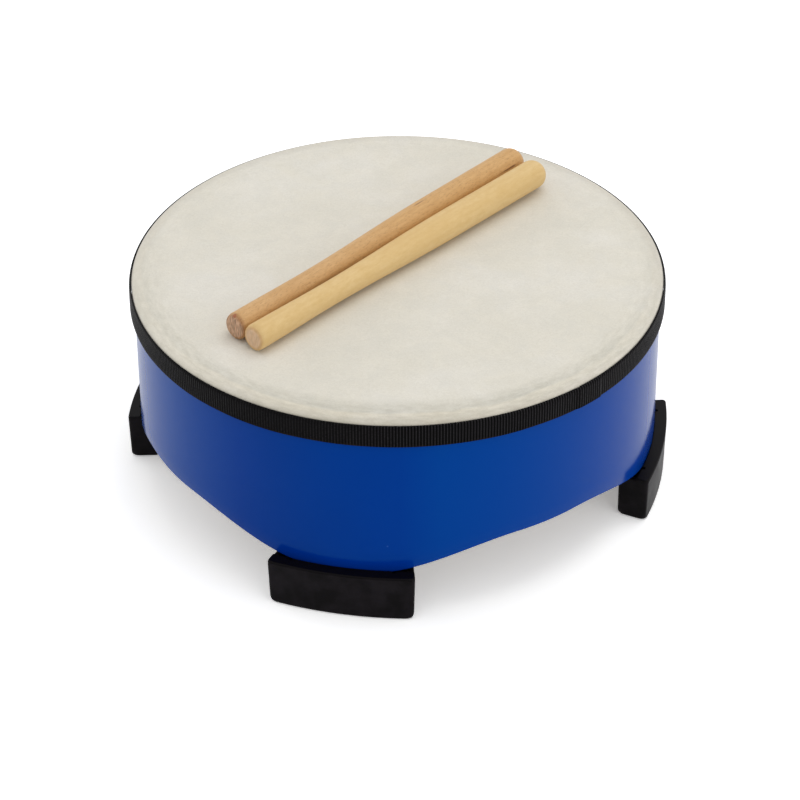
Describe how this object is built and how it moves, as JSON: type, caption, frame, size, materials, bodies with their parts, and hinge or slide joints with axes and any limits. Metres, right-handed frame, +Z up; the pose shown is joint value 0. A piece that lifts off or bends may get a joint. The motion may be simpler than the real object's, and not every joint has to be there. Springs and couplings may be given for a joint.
{
  "type": "floor drum",
  "caption": "Low round floor drum: blue bent-wood shell with a scalloped lower edge on rubber feet, skin head edged with black woven tape, loose wooden beaters on top.",
  "frame": {"origin": "on the floor plane, on the drum's axis, level with the soles of the feet", "axes": "+Z up along the drum's axis, -Y through the front foot, +X towards the right foot"},
  "size_m": [0.266, 0.2658, 0.1238],
  "materials": {
    "blue_lacquer": "satin-gloss blue lacquer on bent plywood",
    "bare_wood": "bare, sanded",
    "rawhide": "natural scraped skin, cloudy and matt",
    "woven_tape": "black ribbed woven tape",
    "black_rubber": "black moulded rubber, semi-matt",
    "zinc_steel": "zinc plated",
    "beech": "turned beech, thin clear finish",
    "birch": "turned birch, thin clear finish"
  },
  "bodies": {
    "drum": {"shell": "blue_lacquer", "rim_hoop": "bare_wood", "drum_head": "rawhide", "trim_tape": "woven_tape", "head_staple_01": "zinc_steel", "head_staple_02": "zinc_steel", "head_staple_03": "zinc_steel", "head_staple_04": "zinc_steel", "head_staple_05": "zinc_steel", "head_staple_06": "zinc_steel", "head_staple_07": "zinc_steel", "head_staple_08": "zinc_steel", "head_staple_09": "zinc_steel", "head_staple_10": "zinc_steel", "head_staple_11": "zinc_steel", "head_staple_12": "zinc_steel", "head_staple_13": "zinc_steel", "head_staple_14": "zinc_steel", "head_staple_15": "zinc_steel", "head_staple_16": "zinc_steel", "foot_front": "black_rubber", "foot_right": "black_rubber", "foot_back": "black_rubber", "foot_left": "black_rubber", "foot_screw_front_1": "zinc_steel", "foot_screw_front_2": "zinc_steel", "foot_screw_right_1": "zinc_steel", "foot_screw_right_2": "zinc_steel", "foot_screw_back_1": "zinc_steel", "foot_screw_back_2": "zinc_steel", "foot_screw_left_1": "zinc_steel", "foot_screw_left_2": "zinc_steel", "foot_washer_front_1": "zinc_steel", "foot_washer_front_2": "zinc_steel", "foot_washer_right_1": "zinc_steel", "foot_washer_right_2": "zinc_steel", "foot_washer_back_1": "zinc_steel", "foot_washer_back_2": "zinc_steel", "foot_washer_left_1": "zinc_steel", "foot_washer_left_2": "zinc_steel"},
    "beater_beech": {"beater_beech": "beech"},
    "beater_birch": {"beater_birch": "birch"}
  },
  "joints": [
    {"name": "beater_beech_lift", "type": "slide", "parent": "drum", "child": "beater_beech", "axis": [0, 0, 1], "range_m": [0, 0.12]},
    {"name": "beater_birch_lift", "type": "slide", "parent": "drum", "child": "beater_birch", "axis": [0, 0, 1], "range_m": [0, 0.12]}
  ]
}
